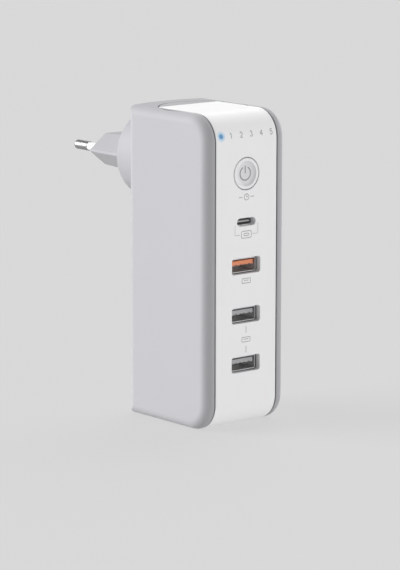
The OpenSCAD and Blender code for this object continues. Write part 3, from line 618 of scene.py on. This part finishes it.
# Digits in a cell one high and 0.56 wide: lists of points, with arcs for the round parts
digitStrokes = {
    1: [[(0.06, 0.80), (0.30, 1.0), (0.30, 0.0)]],
    2: [np.concatenate([arc((0.28, 0.72), (0.26, 0.28), 165, -35), [(0.03, 0.0), (0.56, 0.0)]])],
    3: [np.concatenate([
        arc((0.26, 0.76), (0.22, 0.24), 150, -80), arc((0.26, 0.27), (0.27, 0.27), 80, -150)])],
    4: [[(0.42, 0.0), (0.42, 1.0), (0.0, 0.30), (0.60, 0.30)]],
    5: [np.concatenate([
        [(0.52, 1.0), (0.12, 1.0), (0.07, 0.56)], arc((0.27, 0.32), (0.27, 0.32), 130, -145)])],
}
rowPrint = {"height": 2.1, "half": 0.15, "cellMiddle": 0.28, "step": 0.06}
signPrint = {"radius": 2.75, "gap": 32.0, "half": 0.28, "barTop": 2.9, "barFoot": 0.3}
markPrint = {
    "half": 0.15, "bracketHalf": 0.09,
    "dialZ": 95.7, "dialRadius": 1.25, "handUp": 0.75, "handAcross": 0.55, "dashNear": 2.3, "dashFar": 3.9,
    "bracketTop": 84.6, "bracketFoot": 80.3, "bracketHalfWidth": 6.1, "bracketFootHalfWidth": 3.4,
    "boxWidth": 5.2, "boxHeight": 2.8, "boxRound": 0.6,
    "portWidth": 2.8, "portHeight": 0.9, "portRound": 0.44,
    "plugWidth": 4.4, "plugHeight": 1.9, "plugRound": 0.25, "plugDrop": 6.2,
    "tongueHalf": 1.2, "tongueLift": 0.15, "tickNear": 2.8, "tickFar": 5.4,
}


def rowStrokes(v):
    # The five digits, each in its cell on the row
    strokes = []
    for digit, lines in digitStrokes.items():
        middle = (digit - layout["rowMiddle"]) * layout["rowPitch"]
        for line in lines:
            shape = np.asarray(line, float) * v["height"] + (middle - v["cellMiddle"] * v["height"], 0)
            shape[:, 1] += layout["rowZ"] - v["height"] / 2
            strokes.append({"line": shape, "half": v["half"], "step": v["step"]})
    return strokes


def signStrokes(v):
    # The usual on and off sign: an open ring with a bar through the gap
    middle = (0.0, layout["buttonZ"])
    ring = arc(middle, (v["radius"], v["radius"]), 90 - v["gap"], -270 + v["gap"], 60)
    bar = [(0.0, layout["buttonZ"] + v["barTop"]), (0.0, layout["buttonZ"] + v["barFoot"])]
    return [{"line": ring, "half": v["half"]}, {"line": bar, "half": v["half"]}]


def boxLine(x, z, width, height, radius):
    # A rectangle with round corners, as one line that ends where it starts
    aside, above = width / 2 - radius, height / 2 - radius
    turns = [(aside, above, 0), (-aside, above, 90), (-aside, -above, 180), (aside, -above, 270)]
    corners = [arc((x + across, z + up), (radius, radius), at, at + 90, 8) for across, up, at in turns]
    return np.concatenate(corners + [corners[0][:1]])


def markStrokes(v):
    # Plain signs in the places of the words: a clock dial, a boxed oval and oblong sockets
    half = v["half"]
    dial = arc((0, v["dialZ"]), (v["dialRadius"], v["dialRadius"]), 0, 360, 40)
    hands = [(0.0, v["dialZ"] + v["handUp"]), (0.0, v["dialZ"]), (v["handAcross"], v["dialZ"])]
    strokes = [{"line": dial, "half": half, "closed": True}, {"line": hands, "half": half}]
    for side in (-1, 1):
        dash = [(side * v["dashNear"], v["dialZ"]), (side * v["dashFar"], v["dialZ"])]
        strokes.append({"line": dash, "half": half})
        wide, narrow = side * v["bracketHalfWidth"], side * v["bracketFootHalfWidth"]
        bracket = [(wide, v["bracketTop"]), (wide, v["bracketFoot"]), (narrow, v["bracketFoot"])]
        strokes.append({"line": bracket, "half": v["bracketHalf"]})
    foot = v["bracketFoot"]
    first, second, third = layout["socketZ"]
    between = (second + third) / 2
    for kind in ("box", "port"):
        outline = boxLine(0, foot, v[kind + "Width"], v[kind + "Height"], v[kind + "Round"])
        strokes.append({"line": outline, "half": half, "closed": True})
    for z in (first - v["plugDrop"], between):
        oblong = boxLine(0, z, v["plugWidth"], v["plugHeight"], v["plugRound"])
        tongue = [(-v["tongueHalf"], z + v["tongueLift"]), (v["tongueHalf"], z + v["tongueLift"])]
        strokes += [{"line": oblong, "half": half, "closed": True}, {"line": tongue, "half": half}]
    for side in (-1, 1):
        tick = [(0.0, between + side * v["tickNear"]), (0.0, between + side * v["tickFar"])]
        strokes.append({"line": tick, "half": half})
    return strokes


makePrint("hour_marks", rowStrokes(rowPrint), frontSurface, inkFinish, "charger")
makePrint("power_sign", signStrokes(signPrint), dishSurface, inkFinish, "button")
makePrint("socket_marks", markStrokes(markPrint), frontSurface, paleInkFinish, "charger")
print("stage: print made")


# Floor

# The floor's size is in metres
floorLook = {
    "size": 60.0, "colour": (0.105, 0.105, 0.105), "glow": 0.57, "rough": 0.9,
    "fibrePitch": 3.0, "dark": 0.98, "pale": 1.02,
}


def makeFloor(v):
    # A plane of one big square, level with the charger's foot: a lit table that leaves faint shadows
    half = v["size"] / 2
    corners = [(-half, -half, 0), (half, -half, 0), (half, half, 0), (-half, half, 0)]
    mesh = bpy.data.meshes.new("studioFloor")
    mesh.from_pydata(corners, [], [(0, 1, 2, 3)])
    table = Finish("litTable", Specular_IOR_Level=0.0, Emission_Strength=v["glow"])
    fibre = table.noise(v["fibrePitch"], detail=4.0)
    table.give(Base_Color=table.blend(fibre, tone(v["colour"], v["dark"]), tone(v["colour"], v["pale"])))
    table.give(Roughness=v["rough"], Emission_Color=(1, 1, 1, 1))
    mesh.materials.append(table.material)
    floor = bpy.data.objects.new("studioFloor", mesh)
    scene.collection.objects.link(floor)


makeFloor(floorLook)
print("stage: floor laid")
